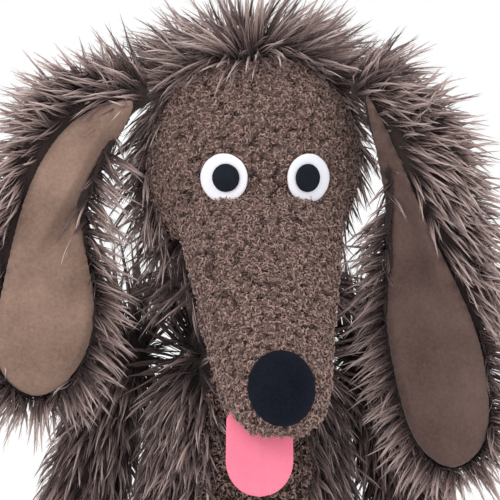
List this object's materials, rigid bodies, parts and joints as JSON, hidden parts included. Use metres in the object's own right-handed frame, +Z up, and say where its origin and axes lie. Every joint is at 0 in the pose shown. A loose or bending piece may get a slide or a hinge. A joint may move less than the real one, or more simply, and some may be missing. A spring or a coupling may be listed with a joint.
{
  "type": "shaggy dog hand puppet",
  "caption": "Soft shaggy dog hand puppet with a curly face, a long hanging snout with a moving jaw, a padded nose, a hanging tongue, floppy lined ears and small arms on an open sleeve.",
  "frame": {"origin": "centre of the hand opening in the flat face that the sleeve stands on", "axes": "+Z up along the sleeve to the top of the head, -Y the way the torso faces, +X the dog's left"},
  "size_m": [0.3712, 0.2731, 0.4558],
  "materials": {
    "shaggy_fur": "long frosted pile",
    "boucle": "tight curly pile",
    "velour": "short smooth nap",
    "navy_felt": "matt felt",
    "white_felt": "matt felt",
    "slate_felt": "matt felt",
    "pink_felt": "matt felt",
    "mouth_felt": "matt felt",
    "lining_cloth": "plain woven",
    "wadding": "fibre filling",
    "stiff_board": "pressed fibre board"
  },
  "bodies": {
    "torso": {"body_fur": "shaggy_fur", "belly_panel": "boucle", "body_stuffing": "wadding", "sleeve_lining": "lining_cloth", "base_ring": "velour", "hem_band": "velour"},
    "neck": {"neck_fur": "shaggy_fur", "neck_stuffing": "wadding", "neck_lining": "lining_cloth"},
    "head": {"face_panel": "boucle", "head_hood": "shaggy_fur", "crown_strip": "shaggy_fur", "head_stuffing": "wadding", "finger_pocket": "lining_cloth", "palate_board": "stiff_board", "palate_felt": "mouth_felt", "nose_cover": "navy_felt", "nose_pad": "wadding", "eye_white_right": "white_felt", "eye_white_left": "white_felt", "pupil_right": "slate_felt", "pupil_left": "slate_felt"},
    "jaw": {"jaw_skin": "boucle", "jaw_stuffing": "wadding", "thumb_pocket": "lining_cloth", "jaw_board": "stiff_board", "jaw_felt": "mouth_felt"},
    "tongue_flap": {"tongue": "pink_felt"},
    "ear_right": {"ear_fur_right": "shaggy_fur", "ear_lining_right": "velour"},
    "ear_left": {"ear_fur_left": "shaggy_fur", "ear_lining_left": "velour"},
    "arm_right": {"arm_fur_right": "shaggy_fur", "arm_stuffing_right": "wadding", "paw_right": "velour"},
    "arm_left": {"arm_fur_left": "shaggy_fur", "arm_stuffing_left": "wadding", "paw_left": "velour"}
  },
  "joints": [
    {"name": "neck_turn", "type": "hinge", "parent": "torso", "child": "neck", "pos_m": [0, 0, 0.251], "axis": [0, 0, 1], "range_deg": [-12, 12]},
    {"name": "head_nod", "type": "hinge", "parent": "neck", "child": "head", "pos_m": [0, 0, 0.262], "axis": [-0.9914, -0.1305, 0], "range_deg": [-5, 20]},
    {"name": "jaw_open", "type": "hinge", "parent": "head", "child": "jaw", "pos_m": [0.01222, -0.0928, 0.2552], "axis": [0.9914, 0.1305, 0], "range_deg": [0, 20]},
    {"name": "tongue_swing", "type": "hinge", "parent": "jaw", "child": "tongue_flap", "pos_m": [0.00927, -0.16238, 0.1675], "axis": [-0.9914, -0.1305, 0], "range_deg": [-6, 25]},
    {"name": "ear_right_lift", "type": "hinge", "parent": "head", "child": "ear_right", "pos_m": [-0.08, -0.07, 0.392], "axis": [0, 1, 0], "range_deg": [0, 50]},
    {"name": "ear_left_lift", "type": "hinge", "parent": "head", "child": "ear_left", "pos_m": [0.088, -0.07, 0.392], "axis": [0, -1, 0], "range_deg": [0, 50]},
    {"name": "arm_right_lift", "type": "hinge", "parent": "torso", "child": "arm_right", "pos_m": [-0.087, 0.026, 0.212], "axis": [0, 1, 0], "range_deg": [0, 40]},
    {"name": "arm_left_lift", "type": "hinge", "parent": "torso", "child": "arm_left", "pos_m": [0.087, 0.026, 0.212], "axis": [0, -1, 0], "range_deg": [0, 40]}
  ]
}
